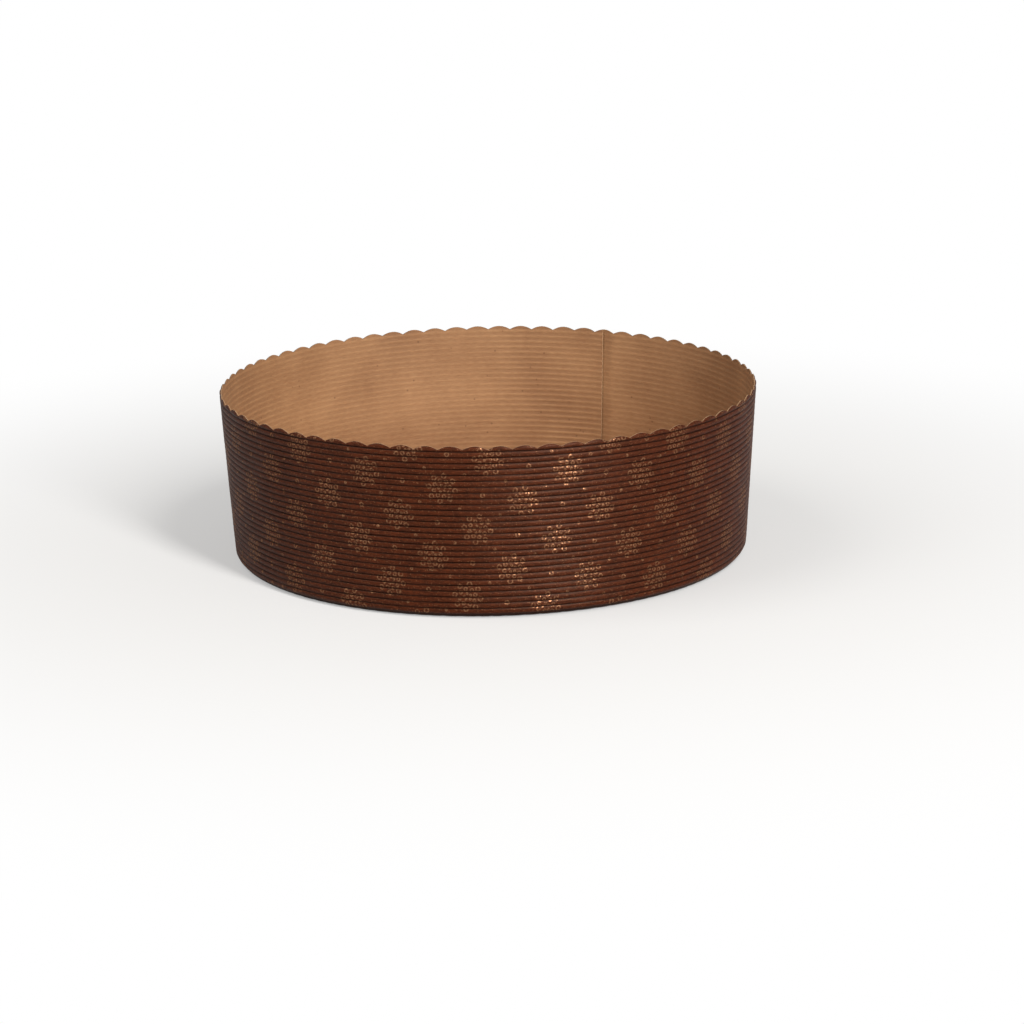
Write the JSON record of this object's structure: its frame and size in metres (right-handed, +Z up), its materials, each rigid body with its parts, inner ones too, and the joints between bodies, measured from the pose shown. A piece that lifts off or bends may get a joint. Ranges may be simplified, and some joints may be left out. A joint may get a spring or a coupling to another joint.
{
  "type": "panettone paper mold",
  "caption": "Low round paper baking case with a flared wall of fluted paper, a scalloped rim, a turned-in foot and a glued base disc.",
  "frame": {"origin": "middle of the circle that the mold stands on, at the underside of its turned-in hem", "axes": "+Z up along the axis of the ring, from the base to the rim. The glued lap of the wall lies at about 63 to 74 degrees counter-clockwise from +X, seen from above."},
  "size_m": [0.2195, 0.2196, 0.0696],
  "materials": {
    "printed_fluted_paper": "dark brown greaseproof paper, fluted, with copper-gold printed rosettes and a soft sheen",
    "kraft_liner": "plain tan kraft, matt",
    "base_board": "plain tan kraft board, matt"
  },
  "bodies": {
    "root": {"fluted_wall": "printed_fluted_paper", "wall_liner": "kraft_liner", "base_disc": "base_board"}
  },
  "joints": []
}
